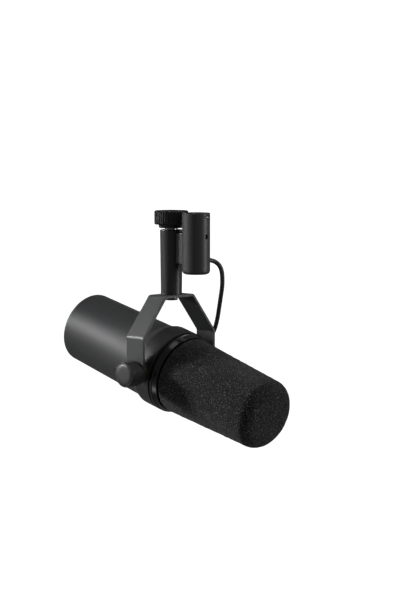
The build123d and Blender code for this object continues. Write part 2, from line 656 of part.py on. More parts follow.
# ---- Trim ring in front of the flange: a polished bead, then a collar down to the foam ----
BEAD_REAR = FLANGE_FRONT + 0.6
BEAD_FRONT = BEAD_REAR + 2.8
BEAD_RADIUS = 30.5
BEAD_FILLET = 1.0
BEAD_FRONT_FILLET = 0.6
COLLAR_REAR_RADIUS = 29.8
COLLAR_FRONT_RADIUS = 28.8
trim_outline = [
    (BEAD_REAR, RING_SEAT_RADIUS),
    (BEAD_REAR, BEAD_RADIUS),
    (BEAD_FRONT, BEAD_RADIUS),
    (BEAD_FRONT, COLLAR_REAR_RADIUS),
    (RING_FRONT, COLLAR_FRONT_RADIUS),
    (RING_FRONT, CHASSIS_BORE + 0.6),
    (RING_SEAT_FRONT, CHASSIS_BORE + 0.6),
    (RING_SEAT_FRONT, RING_SEAT_RADIUS),
]
with BuildPart() as trim_ring:
    with BuildSketch(lengthwise):
        with BuildLine():
            Polyline(*trim_outline, close=True)
        make_face()
    revolve(axis=mic_axis)
    bead_edges = trim_ring.edges().filter_by(GeomType.CIRCLE).sort_by(SortBy.RADIUS)[-2:]
    fillet(bead_edges.sort_by(mic_axis)[0], BEAD_FILLET)
    front_edges = trim_ring.edges().filter_by(GeomType.CIRCLE).sort_by(SortBy.RADIUS)[-2:]
    fillet(front_edges.sort_by(mic_axis)[-1], BEAD_FRONT_FILLET)
save(trim_ring.part, "trim_ring")

# ---- Pivot studs, washers and knobs, one set each side ------------------------------------
STUD_INNER = 25.0
STUD_OUTER = 45.5
INSERT_RADIUS = 4.6
INSERT_INNER = KNOB_INNER
INSERT_OUTER = 46.5
KNOB_GROOVES = 48
leg_inner = YOKE_HALF_SPAN - YOKE_THICK
washer_stack = [
    ("brass_washers", BOSS_FACE, 1.0, 7.2),
    ("friction_washers", BOSS_FACE + 1.0, 1.2, 7.4),
    ("lock_washers", BOSS_FACE + 2.2, leg_inner - 0.05 - BOSS_FACE - 2.2, 7.2),
    ("outer_washers", YOKE_HALF_SPAN + 0.05, KNOB_INNER - YOKE_HALF_SPAN - 0.1, 7.0),
]

for washer_name, start, thick, radius in washer_stack:
    with BuildPart() as washers:
        for side in (-1, 1):
            with BuildSketch(crosswise(side * start)):
                Circle(radius)
                Circle(STUD_RADIUS + STUD_CLEARANCE, mode=Mode.SUBTRACT)
            extrude(amount=-side * thick)
    save(washers.part, washer_name)

for side, side_name in ((-1, "near"), (1, "far")):
    with BuildPart() as stud:
        with BuildSketch(crosswise(side * STUD_INNER)):
            Circle(STUD_RADIUS)
        extrude(amount=-side * (STUD_OUTER - STUD_INNER))
        chamfer(stud.edges().filter_by(GeomType.CIRCLE), 0.3)
    save(stud.part, f"pivot_stud_{side_name}")
    with BuildPart() as knob_insert:
        with BuildSketch(crosswise(side * INSERT_INNER)):
            RegularPolygon(INSERT_RADIUS, 12)
            Circle(STUD_RADIUS + STUD_CLEARANCE, mode=Mode.SUBTRACT)
        extrude(amount=-side * (INSERT_OUTER - INSERT_INNER))
    save(knob_insert.part, f"knob_insert_{side_name}")
    with BuildPart() as knob:
        with BuildSketch(crosswise(side * KNOB_INNER)):
            Circle(KNOB_RADIUS)
        extrude(amount=-side * (KNOB_OUTER - KNOB_INNER))
        end_circles = knob.edges().filter_by(GeomType.CIRCLE).sort_by(Axis.Y)
        cap_edge = end_circles[0] if side < 0 else end_circles[-1]
        chamfer(cap_edge, 0.6)
        with BuildSketch(crosswise(side * KNOB_INNER)):
            with PolarLocations(KNOB_RADIUS + 0.12, KNOB_GROOVES):
                Circle(0.3)
        extrude(amount=-side * (KNOB_OUTER - KNOB_INNER - 1.2), mode=Mode.SUBTRACT)
        with BuildSketch(crosswise(side * KNOB_INNER)):
            RegularPolygon(INSERT_RADIUS, 12)
        extrude(amount=-side * (INSERT_OUTER - INSERT_INNER), mode=Mode.SUBTRACT)
    save(knob.part, f"knob_{side_name}")

# ---- Front cage: slotted tube that carries the foam and the cartridge ---------------------
CAGE_REAR = 1.5
CAGE_FRONT = 88.0
CAGE_WALL = 1.0
CAGE_REAR_RADIUS = 22.4
CAGE_FRONT_RADIUS = 19.6
SLOTS_AROUND = 12
SLOT_LENGTH = 18.0
SLOT_WIDTH = 5.0
slot_stations = [27.0, 50.0, 73.0]


def cage_radius(distance):
    return blend_radius(distance, FOAM_REAR, CAGE_REAR_RADIUS, CAGE_FRONT, CAGE_FRONT_RADIUS)


cage_outline = [
    (CAGE_REAR, cage_radius(FOAM_REAR) - CAGE_WALL),
    (CAGE_REAR, CHASSIS_BORE),
    (RING_FRONT - 1.0, CHASSIS_BORE),
    (RING_FRONT - 1.0, cage_radius(FOAM_REAR)),
    (FOAM_REAR, cage_radius(FOAM_REAR)),
    (CAGE_FRONT, CAGE_FRONT_RADIUS),
    (CAGE_FRONT, 0),
    (CAGE_FRONT - CAGE_WALL, 0),
    (CAGE_FRONT - CAGE_WALL, cage_radius(CAGE_FRONT - CAGE_WALL) - CAGE_WALL),
    (FOAM_REAR, cage_radius(FOAM_REAR) - CAGE_WALL),
]
with BuildPart() as front_cage:
    with BuildSketch(lengthwise):
        with BuildLine():
            Polyline(*cage_outline, close=True)
        make_face()
    revolve(axis=mic_axis)
    with BuildSketch(station(CAGE_FRONT - 2 * CAGE_WALL)):
        Circle(2.0)
        with PolarLocations(7.0, 6):
            Circle(2.0)
        with PolarLocations(13.5, 12):
            Circle(2.0)
    extrude(amount=3 * CAGE_WALL, mode=Mode.SUBTRACT)
    for slot_station in slot_stations:
        for turn in range(SLOTS_AROUND // 2):
            slot_plane = lengthwise.rotated((360 / SLOTS_AROUND * turn, 0, 0))
            with BuildSketch(slot_plane):
                with Locations((slot_station, 0)):
                    SlotOverall(SLOT_LENGTH, SLOT_WIDTH)
            extrude(amount=CHASSIS_BORE, both=True, mode=Mode.SUBTRACT)
save(front_cage.part, "front_cage")

# ---- Cage lining and front screen ---------------------------------------------------------
LINING_THICK = 0.5
LINING_FRONT = 81.0
lining_gap = 0.05
lining_outline = [
    (FOAM_REAR, cage_radius(FOAM_REAR) - CAGE_WALL - lining_gap),
    (LINING_FRONT, cage_radius(LINING_FRONT) - CAGE_WALL - lining_gap),
    (LINING_FRONT, cage_radius(LINING_FRONT) - CAGE_WALL - lining_gap - LINING_THICK),
    (FOAM_REAR, cage_radius(FOAM_REAR) - CAGE_WALL - lining_gap - LINING_THICK),
]
with BuildPart() as cage_lining:
    with BuildSketch(lengthwise):
        with BuildLine():
            Polyline(*lining_outline, close=True)
        make_face()
    revolve(axis=mic_axis)
save(cage_lining.part, "cage_lining")

with BuildPart() as front_screen:
    with BuildSketch(station(LINING_FRONT + 1.0)):
        Circle(cage_radius(CAGE_FRONT) - CAGE_WALL - 0.2)
    extrude(amount=4.0)
save(front_screen.part, "front_screen")

# ---- Cartridge: moving-coil capsule on rubber mounts --------------------------------------
CAN_REAR = 30.0
CAN_FRONT = 66.0
CAN_RADIUS = 15.4
CAN_WALL = 1.0
CAN_BACK = 1.5
MAGNET_RADIUS = 8.0
CUP_RADIUS = 14.3
CUP_BORE = 10.4
POLE_RADIUS = 9.0
COIL_INNER = 9.3
COIL_OUTER = 10.1
CUP_REAR = 44.0
CUP_BACK = 3.5
CUP_FRONT = 58.0
POLE_THICK = 3.0
DIAPHRAGM_STATION = 61.5

can_shell = [
    (CAN_REAR, 4.0),
    (CAN_REAR, CAN_RADIUS),
    (CAN_FRONT, CAN_RADIUS),
    (CAN_FRONT, CAN_RADIUS - CAN_WALL),
    (CAN_REAR + CAN_BACK, CAN_RADIUS - CAN_WALL),
    (CAN_REAR + CAN_BACK, 4.0),
]
magnet_cup_outline = [
    (CUP_REAR, 0),
    (CUP_REAR, CUP_RADIUS),
    (CUP_FRONT, CUP_RADIUS),
    (CUP_FRONT, CUP_BORE),
    (CUP_REAR + CUP_BACK, CUP_BORE),
    (CUP_REAR + CUP_BACK, 0),
]
magnet_outline = [
    (CUP_REAR + CUP_BACK, 0),
    (CUP_REAR + CUP_BACK, MAGNET_RADIUS),
    (CUP_FRONT - POLE_THICK, MAGNET_RADIUS),
    (CUP_FRONT - POLE_THICK, 0),
]
pole_outline = [
    (CUP_FRONT - POLE_THICK, 0),
    (CUP_FRONT - POLE_THICK, POLE_RADIUS),
    (CUP_FRONT, POLE_RADIUS),
    (CUP_FRONT, 0),
]
voice_coil_outline = [
    (CUP_FRONT - POLE_THICK - 0.6, COIL_INNER),
    (CUP_FRONT - POLE_THICK - 0.6, COIL_OUTER),
    (DIAPHRAGM_STATION, COIL_OUTER),
    (DIAPHRAGM_STATION, COIL_INNER),
]
diaphragm_outline = [
    (DIAPHRAGM_STATION, COIL_INNER - 0.3),
    (DIAPHRAGM_STATION, CAN_RADIUS - CAN_WALL - 0.1),
    (DIAPHRAGM_STATION + 0.4, CAN_RADIUS - CAN_WALL - 0.1),
    (DIAPHRAGM_STATION + 0.4, COIL_OUTER),
    (DIAPHRAGM_STATION + 1.6, 6.0),
    (DIAPHRAGM_STATION + 2.1, 0),
    (DIAPHRAGM_STATION + 1.7, 0),
    (DIAPHRAGM_STATION + 1.2, 6.0),
]
resonator_outline = [
    (CAN_FRONT - 1.8, 0),
    (CAN_FRONT - 1.8, CAN_RADIUS - CAN_WALL),
    (CAN_FRONT, CAN_RADIUS - CAN_WALL),
    (CAN_FRONT, 0),
]
hum_coil_outline = [
    (CAN_REAR + 4.0, 6.0),
    (CAN_REAR + 4.0, 12.8),
    (CUP_REAR - 1.5, 12.8),
    (CUP_REAR - 1.5, 6.0),
]
felt_outline = [
    (-9.0, 3.0),
    (-9.0, CHASSIS_BORE - 0.1),
    (-5.5, CHASSIS_BORE - 0.1),
    (-5.5, 3.0),
]


def mount_outline(rear, thick):
    outside = cage_radius(rear + thick) - CAGE_WALL - LINING_THICK - 2 * lining_gap
    return [
        (rear, CAN_RADIUS),
        (rear, outside),
        (rear + thick, outside),
        (rear + thick, CAN_RADIUS),
    ]


turned_pieces = {
    "cartridge_can": can_shell,
    "magnet_cup": magnet_cup_outline,
    "magnet": magnet_outline,
    "pole_piece": pole_outline,
    "voice_coil": voice_coil_outline,
    "diaphragm": diaphragm_outline,
    "humbucking_coil": hum_coil_outline,
    "damping_felt": felt_outline,
    "shock_mount_rear": mount_outline(34.0, 4.0),
    "shock_mount_front": mount_outline(57.0, 4.0),
}
for piece_name, outline in turned_pieces.items():
    with BuildPart() as turned:
        with BuildSketch(lengthwise):
            with BuildLine():
                Polyline(*outline, close=True)
            make_face()
        revolve(axis=mic_axis)
    save(turned.part, piece_name)

with BuildPart() as resonator_cap:
    with BuildSketch(lengthwise):
        with BuildLine():
            Polyline(*resonator_outline, close=True)
        make_face()
    revolve(axis=mic_axis)
    with BuildSketch(station(CAN_FRONT - 2.5)):
        Circle(1.5)
        with PolarLocations(7.5, 8):
            Circle(1.5)
    extrude(amount=4.0, mode=Mode.SUBTRACT)
save(resonator_cap.part, "resonator_cap")

# ---- Electronics in the rear housing: board, transformer and cartridge leads --------------
BOARD_REAR = TUBE_REAR + REAR_WALL + SWITCH_DEPTH + 1.0
BOARD_FRONT = -30.0
BOARD_WIDE = 40.0
BOARD_THICK = 1.6
BOARD_DROP = -8.0
TRANSFORMER_LONG = 20.0
TRANSFORMER_WIDE = 16.0
TRANSFORMER_TALL = 14.0
transformer_middle = -52.0

with BuildPart() as circuit_board:
    with BuildSketch(station(BOARD_REAR)):
        with Locations((0, BOARD_DROP)):
            Rectangle(BOARD_WIDE, BOARD_THICK)
    extrude(amount=BOARD_FRONT - BOARD_REAR)
save(circuit_board.part, "circuit_board")

with BuildPart() as transformer:
    with BuildSketch(station(transformer_middle - TRANSFORMER_LONG / 2)):
        with Locations((0, BOARD_DROP + BOARD_THICK / 2 + TRANSFORMER_TALL / 2)):
            Rectangle(TRANSFORMER_WIDE, TRANSFORMER_TALL)
    extrude(amount=TRANSFORMER_LONG)
    chamfer(transformer.edges().filter_by(Axis(pivot, aim)), 1.0)
save(transformer.part, "output_transformer")

with BuildPart() as cartridge_leads:
    with BuildSketch(station(BOARD_FRONT)):
        with Locations((-1.5, 0), (1.5, 0)):
            Circle(0.55)
    extrude(amount=CAN_REAR + CAN_BACK - BOARD_FRONT)
save(cartridge_leads.part, "cartridge_leads")

# ---- Foam windscreen: pulls off forwards over the cage ------------------------------------
FOAM_CLEAR = 0.3
foam_inner_rear = cage_radius(FOAM_REAR) + FOAM_CLEAR
foam_inner_front = CAGE_FRONT_RADIUS + FOAM_CLEAR
foam_outline = [
    (FOAM_REAR, foam_inner_rear),
    (FOAM_REAR, FOAM_REAR_RADIUS),
    (FOAM_FRONT, FOAM_FRONT_RADIUS),
    (FOAM_FRONT, 0),
    (CAGE_FRONT + FOAM_CLEAR, 0),
    (CAGE_FRONT + FOAM_CLEAR, foam_inner_front),
]
with BuildPart() as foam_windscreen:
    with BuildSketch(lengthwise):
        with BuildLine():
            Polyline(*foam_outline, close=True)
        make_face()
    revolve(axis=mic_axis)
    foam_circles = foam_windscreen.edges().filter_by(GeomType.CIRCLE)
    fillet(foam_circles.group_by(mic_axis)[-1], FOAM_SHOULDER)
    rear_circles = foam_windscreen.edges().filter_by(GeomType.CIRCLE).group_by(mic_axis)[0]
    fillet(rear_circles.sort_by(SortBy.RADIUS)[-1], 1.6)
save(foam_windscreen.part, "foam_windscreen")
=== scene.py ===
# %% [markdown]
# # A broadcast microphone on its yoke
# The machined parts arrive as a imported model, already in place and in metres. This lesson dresses
# them: it adds the soft and flexible pieces, gives every surface a finish, and lights the lot.

# %% Load the frame
import json
import math
import bmesh
import bpy
from mathutils import Matrix, Vector, noise

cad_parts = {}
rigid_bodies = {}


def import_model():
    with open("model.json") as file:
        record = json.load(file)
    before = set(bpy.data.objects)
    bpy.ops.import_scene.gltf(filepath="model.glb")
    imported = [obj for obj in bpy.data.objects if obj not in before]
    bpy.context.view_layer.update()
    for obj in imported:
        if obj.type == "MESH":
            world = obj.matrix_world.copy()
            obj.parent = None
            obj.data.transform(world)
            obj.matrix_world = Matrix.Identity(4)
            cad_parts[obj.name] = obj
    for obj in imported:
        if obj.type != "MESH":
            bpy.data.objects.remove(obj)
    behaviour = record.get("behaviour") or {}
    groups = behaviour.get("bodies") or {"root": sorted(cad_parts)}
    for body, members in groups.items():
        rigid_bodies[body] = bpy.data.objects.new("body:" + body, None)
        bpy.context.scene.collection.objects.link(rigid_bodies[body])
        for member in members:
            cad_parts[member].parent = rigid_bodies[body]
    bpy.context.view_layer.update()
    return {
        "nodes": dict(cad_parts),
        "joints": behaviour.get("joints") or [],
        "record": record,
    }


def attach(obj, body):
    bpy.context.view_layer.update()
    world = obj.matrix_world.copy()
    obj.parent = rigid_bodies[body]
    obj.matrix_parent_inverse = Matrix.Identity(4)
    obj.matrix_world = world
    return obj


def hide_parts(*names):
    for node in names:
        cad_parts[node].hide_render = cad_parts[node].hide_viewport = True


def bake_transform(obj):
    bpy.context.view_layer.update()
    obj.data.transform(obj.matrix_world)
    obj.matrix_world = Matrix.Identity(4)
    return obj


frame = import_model()

# %% [markdown]
# ## Where things are
# Everything is worked out from the frame. The tilt axis comes from the joint that tips the body,
# and the direction the microphone points comes from the joint that pulls the foam off. From those
# two, any piece of the body can be placed by its distance along the body and its radius.

# %% Axes of the object
joints = {joint["name"]: joint for joint in frame["joints"]}
pivot = Vector(joints["tilt"]["pos_m"])
forward = Vector(joints["windscreen_pull"]["axis"]).normalized()
sideways = Vector((0, 1, 0))
upward = forward.cross(sideways)
MM = 0.001


def on_body(distance, radius, turn):
    """A point of the body: millimetres ahead of the tilt axis and out from the centre line."""
    out = sideways * math.cos(turn) + upward * math.sin(turn)
    return pivot + (forward * distance + out * radius) * MM


print("tilt axis at", [round(v, 4) for v in pivot])

# %% [markdown]
# ## Camera
# A long lens from a little over a metre keeps the cylinders free of distortion. The camera looks
# at a point above and to one side of the tilt axis, so the stand nut and the body both fit the
# frame.

# %% Make the camera
VIEW_AZIMUTH = math.radians(43.21)
VIEW_ELEVATION = math.radians(5.42)
CAMERA_DISTANCE = 1.25586
LENS_MM = 102.68
LOOK_RIGHT = 0.02087
LOOK_UP = 0.05005
NEAREST_SEEN = 0.01

toward_camera = Vector((
    math.sin(VIEW_AZIMUTH) * math.cos(VIEW_ELEVATION),
    -math.cos(VIEW_AZIMUTH) * math.cos(VIEW_ELEVATION),
    math.sin(VIEW_ELEVATION),
))
camera_right = Vector((math.cos(VIEW_AZIMUTH), math.sin(VIEW_AZIMUTH), 0))
camera_up = toward_camera.cross(camera_right)
look_at = pivot + camera_right * LOOK_RIGHT + camera_up * LOOK_UP


def facing(right, up, back, place):
    """A matrix whose axes are right, up and back, standing at a place."""
    turn = Matrix((right, up, back)).transposed().to_4x4()
    return Matrix.Translation(place) @ turn


lens = bpy.data.cameras.new("camera")
lens.lens = LENS_MM
lens.clip_start = NEAREST_SEEN
camera = bpy.data.objects.new("camera", lens)
camera.matrix_world = facing(
    camera_right, camera_up, toward_camera, look_at + toward_camera * CAMERA_DISTANCE
)
bpy.context.scene.collection.objects.link(camera)
bpy.context.scene.camera = camera
print("camera at", [round(v, 3) for v in camera.location])

# %% [markdown]
# ## The lead
# A short rubber lead leaves the socket housing, falls outside the far leg of the yoke and comes
# in behind it to a gland on the chassis ring. A cable never kinks, so its line is a NURBS curve
# that passes near a few given points. Its order is set after its points, because a spline
# with too few points for its order stays as straight runs.

# %% Draw the lead's line
lead_route = [
    (0.0248, 0.0113, -0.03565),
    (0.0248, 0.0176, -0.03565),
    (0.0288, 0.0228, -0.04085),
    (0.0268, 0.0262, -0.05325),
    (0.0206, 0.0309, -0.06375),
    (0.0066, 0.0416, -0.08635),
    (-0.0016, 0.0446, -0.09615),
    (-0.0116, 0.0436, -0.10435),
    (-0.01737, 0.0384, -0.11103),
    (-0.01737, 0.03135, -0.11103),
]
LEAD_DIAMETER = 0.0033
STEPS_PER_POINT = 12
CURVE_ORDER = 3


def smooth_line(name, points, resolution):
    """Points along one smooth NURBS curve with the given control points."""
    curve = bpy.data.curves.new(name, "CURVE")
    curve.dimensions = "3D"
    curve.resolution_u = resolution
    spline = curve.splines.new("NURBS")
    spline.points.add(len(points) - 1)
    for control, place in zip(spline.points, points):
        control.co = (*place, 1)
    spline.order_u = CURVE_ORDER
    spline.use_endpoint_u = True
    holder = bpy.data.objects.new(name, curve)
    bpy.context.scene.collection.objects.link(holder)
    bpy.context.view_layer.update()
    read = bpy.data.meshes.new_from_object(holder)
    line = [vertex.co.copy() for vertex in read.vertices]
    bpy.data.objects.remove(holder)
    return line


lead_line = smooth_line("lead_line", lead_route, STEPS_PER_POINT)

# %% [markdown]
# The lead, the foam and the knob faces are all rows of rings of points. A few helpers are enough
# for the three of them: one makes an object from a mesh, and one joins rings with four-sided
# faces and closes both ends, so that every piece is solid.

# %% Helpers that turn rings of points into pieces
SCENE = bpy.context.scene.collection.objects


def piece_from(name, mesh_maker):
    """A new smooth object whose mesh is filled by a function that adds to a bmesh."""
    made = bmesh.new()
    mesh_maker(made)
    bmesh.ops.recalc_face_normals(made, faces=made.faces)
    mesh = bpy.data.meshes.new(name)
    made.to_mesh(mesh)
    made.free()
    for polygon in mesh.polygons:
        polygon.use_smooth = True
    thing = bpy.data.objects.new(name, mesh)
    SCENE.link(thing)
    return thing


def join_rings(made, rings):
    """Quads between rings of the same number of vertices, with the first and last ring filled."""
    for low, high in zip(rings, rings[1:]):
        for place in range(len(low)):
            after = (place + 1) % len(low)
            made.faces.new((low[place], low[after], high[after], high[place]))
    made.faces.new(rings[0])
    made.faces.new(rings[-1])


print("ring helpers ready")

# %% [markdown]
# Along the lead, each new ring turns only as much as the line does. Its first direction is
# carried from ring to ring with the part along the line taken out, so that the rings never spin.

# %% Build the lead
LEAD_SIDES = 24


def tube_along(line, radius, sides):
    """A mesh maker: a tube with closed ends along a line."""
    def fill(made):
        rings = []
        side = None
        for index, centre in enumerate(line):
            before = line[max(index - 1, 0)]
            after = line[min(index + 1, len(line) - 1)]
            along = (after - before).normalized()
            if side is None:
                side = along.orthogonal().normalized()
            side = (side - along * side.dot(along)).normalized()
            other = along.cross(side)
            ring = []
            for step in range(sides):
                turn = math.tau * step / sides
                out = side * math.cos(turn) + other * math.sin(turn)
                ring.append(made.verts.new(centre + out * radius))
            rings.append(ring)
        join_rings(made, rings)
    return fill


lead = piece_from("lead", tube_along(lead_line, LEAD_DIAMETER / 2, LEAD_SIDES))
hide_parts("lead_cable")
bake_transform(lead)
print("lead", len(lead.data.polygons), "faces")

# %% [markdown]
# ## Foam windscreen
# The windscreen is moulded open-cell foam: a thick tapered sleeve with a round shoulder and a
# closed front, pushed over a cage. It is a turned shape, so its outline is drawn once, outside
# and inside, and then swept round the body's centre line. All its sizes are in millimetres.

# %% Outline of the foam
FOAM_REAR, FOAM_FRONT = 14.3, 99.6
FOAM_REAR_RADIUS, FOAM_FRONT_RADIUS = 28.4, 25.4
BORE_REAR_RADIUS, BORE_FRONT_RADIUS = 22.7, 19.9
BORE_END = 88.3
SHOULDER = 9.0
LIP = 2.4
CROWN = 0.3
POLE_RADIUS = 0.35
ROWS = {
    "bore_floor": 12, "bore_wall": 40, "rear": 4, "lip": 8, "side": 70, "shoulder": 20, "face": 14,
}


def straight(first, last, steps):
    """Evenly spaced points from first to last, without the last."""
    return [
        (first[0] + (last[0] - first[0]) * n / steps, first[1] + (last[1] - first[1]) * n / steps)
        for n in range(steps)
    ]


def arc(centre, radius, start, end, steps):
    """Points round an arc, angles in degrees from the forward direction, without the last."""
    found = []
    for n in range(steps):
        angle = math.radians(start + (end - start) * n / steps)
        found.append((centre[0] + radius * math.cos(angle), centre[1] + radius * math.sin(angle)))
    return found


def foam_outline():
    """(distance, radius) points: along the bore, over the rear lip, forward and round the front."""
    bore_corner = (BORE_END, BORE_FRONT_RADIUS)
    rear_corner = (FOAM_REAR, BORE_REAR_RADIUS)
    lip_centre = (FOAM_REAR + LIP, FOAM_REAR_RADIUS - LIP)
    shoulder_centre = (FOAM_FRONT - SHOULDER, FOAM_FRONT_RADIUS - SHOULDER)
    found = straight((BORE_END, POLE_RADIUS), bore_corner, ROWS["bore_floor"])
    found += straight(bore_corner, rear_corner, ROWS["bore_wall"])
    found += straight(rear_corner, (FOAM_REAR, FOAM_REAR_RADIUS - LIP), ROWS["rear"])
    found += arc(lip_centre, LIP, 180, 90, ROWS["lip"])
    found += straight(
        (FOAM_REAR + LIP, FOAM_REAR_RADIUS),
        (FOAM_FRONT - SHOULDER, FOAM_FRONT_RADIUS),
        ROWS["side"],
    )
    found += arc(shoulder_centre, SHOULDER, 90, 0, ROWS["shoulder"])
    flat = FOAM_FRONT_RADIUS - SHOULDER
    for n in range(ROWS["face"]):
        radius = flat * (1 - n / ROWS["face"])
        found.append((FOAM_FRONT + CROWN * (1 - (radius / flat) ** 2), radius))
    found.append((FOAM_FRONT + CROWN, POLE_RADIUS))
    return found


print("foam outline", len(foam_outline()), "points")

# %% [markdown]
# Moulded foam is never quite true. As the outline is swept, each point is pushed in or out by a
# fraction of a millimetre of noise, which leaves soft dents that a lathe wouldn't.

# %% Sweep the outline round the body
FOAM_SIDES = 220
DENT_DEPTH = 0.22
DENTS_PER_METRE = 260.0
NEAR_AXIS = 1


def turned(outline, sides, dent, dents_per_metre):
    """A mesh maker: an outline swept round the body, dented by a little noise."""
    def fill(made):
        rings = []
        for distance, radius in outline:
            ring = []
            for step in range(sides):
                place = on_body(distance, radius, math.tau * step / sides)
                lift = noise.noise(place * dents_per_metre) * dent * MM
                away = forward
                if radius > NEAR_AXIS:
                    away = (place - on_body(distance, 0, 0)).normalized()
                ring.append(made.verts.new(place + away * lift))
            rings.append(ring)
        join_rings(made, rings)
    return fill


windscreen = piece_from(
    "windscreen", turned(foam_outline(), FOAM_SIDES, DENT_DEPTH, DENTS_PER_METRE)
)
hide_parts("foam_windscreen")
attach(windscreen, "windscreen")
print("windscreen", len(windscreen.data.vertices), "vertices")

# %% [markdown]
# ## Knob caps
# The two tilt knobs have flat faces in the machined model. A moulded knob is usually a little
# domed, and its face catches the light unevenly, so a shallow dome covers each face. Each dome
# rides its own knob and turns with it.

# %% Domed faces
KNOB_FACE = 48.65
CAP_RADIUS = 8.85
CAP_RISE = 0.3
CAP_RINGS = 14
CAP_SIDES = 72
CAP_POLE = 0.05


def domed_cap(side):
    """A mesh maker: a shallow dome on the knob's face, on one side of the body."""
    def fill(made):
        rings = []
        for ring_number in range(CAP_RINGS):
            share = ring_number / (CAP_RINGS - 1)
            radius = max(CAP_RADIUS * (1 - share), CAP_POLE)
            rise = CAP_RISE * (1 - (radius / CAP_RADIUS) ** 2)
            out = side * (KNOB_FACE + rise)
            ring = []
            for step in range(CAP_SIDES):
                turn = math.tau * step / CAP_SIDES
                place = Vector((radius * math.cos(turn), out, radius * math.sin(turn)))
                ring.append(made.verts.new(pivot + place * MM))
            rings.append(ring)
        join_rings(made, rings)
    return fill


knob_caps = []
for side, body in ((-1, "knob_near"), (1, "knob_far")):
    cap = piece_from(f"{body}_cap", domed_cap(side))
    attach(cap, body)
    knob_caps.append(cap)
print("knob caps", [cap.name for cap in knob_caps])

# %% [markdown]
# ## Writing finishes as sums
# A finish is a small tree of nodes. Wiring them by hand is long, so one class wraps a socket and
# lets ordinary Python arithmetic add the Math nodes. Numbers alone are still worked out in
# Python.

# %% The socket wrapper


class Flow:
    """A number, vector or colour on its way through a material."""

    def __init__(self, finish, socket):
        self.finish = finish
        self.socket = socket

    def apply(self, operation, first, second):
        """Adds one Math node."""
        return self.finish.add("ShaderNodeMath", {"operation": operation}, first, second)

    def __add__(self, other):
        return self.apply("ADD", self, other)

    def __mul__(self, other):
        return self.apply("MULTIPLY", self, other)

    def __sub__(self, other):
        return self.apply("SUBTRACT", self, other)

    def __rsub__(self, other):
        return self.apply("SUBTRACT", other, self)

    __radd__ = __add__
    __rmul__ = __mul__


print("socket wrapper ready")

# %% [markdown]
# Every other node comes from one method that takes its type, its settings and what goes into its
# sockets. Colours go through a Mix node, because a Math node would turn a colour grey. Edges are
# softened by a Bevel node under the Bump node: real edges are never perfectly sharp, and the thin
# highlight on them is much of what makes metal look solid.

# %% The finish builder
BEVEL_SAMPLES = 6
MIX_SOCKETS_SKIPPED = 5


class Finish:
    """A procedural material: one Principled shader and the nodes that feed it."""

    def __init__(self, name, **constants):
        self.material = bpy.data.materials.new(name)
        self.material.use_nodes = True
        self.nodes = self.material.node_tree.nodes
        self.links = self.material.node_tree.links
        self.nodes.clear()
        self.shader = self.nodes.new("ShaderNodeBsdfPrincipled")
        output = self.nodes.new("ShaderNodeOutputMaterial")
        self.links.new(self.shader.outputs[0], output.inputs[0])
        for socket, value in constants.items():
            self.shader.inputs[socket.replace("_", " ")].default_value = value

    def feed(self, socket, value):
        """Gives a socket a constant or joins it to a flow."""
        if isinstance(value, Flow):
            self.links.new(value.socket, socket)
        elif hasattr(value, "__len__") and len(value) == 3 and socket.type == "RGBA":
            socket.default_value = (*value, 1)
        else:
            socket.default_value = value

    def add(self, kind, settings, *values, output=0, **named):
        """Adds any node: its type, its settings, then the values or flows of its sockets.

        A None leaves its socket as it is."""
        node = self.nodes.new(kind)
        for name, value in settings.items():
            setattr(node, name, value)
        for socket, value in zip(node.inputs, values):
            if value is not None:
                self.feed(socket, value)
        for name, value in named.items():
            self.feed(node.inputs[name.replace("_", " ")], value)
        return Flow(self, node.outputs[output])

    def place(self):
        """Each point's place on the piece, which moves with the piece."""
        return self.add("ShaderNodeTexCoord", {}, output="Object")

    def cloud(self, size, detail=3.0, roughness=0.5):
        """Soft noise whose blobs are about a size across, in metres."""
        return self.add(
            "ShaderNodeTexNoise", {}, Vector=self.place(), Scale=1 / size, Detail=detail,
            Roughness=roughness,
        )

    def step(self, value, low, high):
        """0 below low, 1 above high, and smooth between."""
        return self.add(
            "ShaderNodeMapRange", {"interpolation_type": "SMOOTHSTEP"}, value, low, high, 0.0, 1.0
        )

    def mix(self, share, first, second):
        """A colour between two colours. The node's colour sockets come after five others."""
        skipped = [None] * MIX_SOCKETS_SKIPPED
        return self.add(
            "ShaderNodeMix", {"data_type": "RGBA"}, share, *skipped, first, second, output=2
        )

    def set(self, name, value):
        """Gives one of the shader's own sockets a constant or a flow."""
        self.feed(self.shader.inputs[name], value)

    def relief(self, height, depth, bevel=None):
        """Surface relief of a depth in metres, over edges softened by a bevel radius."""
        inputs = {"Height": height, "Strength": 1.0, "Distance": depth}
        if bevel:
            inputs["Normal"] = self.add("ShaderNodeBevel", {"samples": BEVEL_SAMPLES}, bevel)
        self.set("Normal", self.add("ShaderNodeBump", {}, **inputs))


print("finish builder ready")

# %% [markdown]
# ## Painted and moulded surfaces
# Paint on a casting is never one flat value. Under a soft light it shows a fine grain, slow
# changes of tone, and a slight polish where hands touch it. One function makes that family of
# finishes, and each part gets its own colour, gloss and grain.

# %% Coated metal and plastic
finishes = {}
SLOW_SIZE = 0.02
SLOW_SHARE, FINE_SHARE = 0.6, 0.4
SLOW_GLOSS, FINE_GLOSS = 0.10, 0.12
MIDDLE = 0.5


def grey(tone):
    """A neutral colour."""
    return (tone, tone, tone)


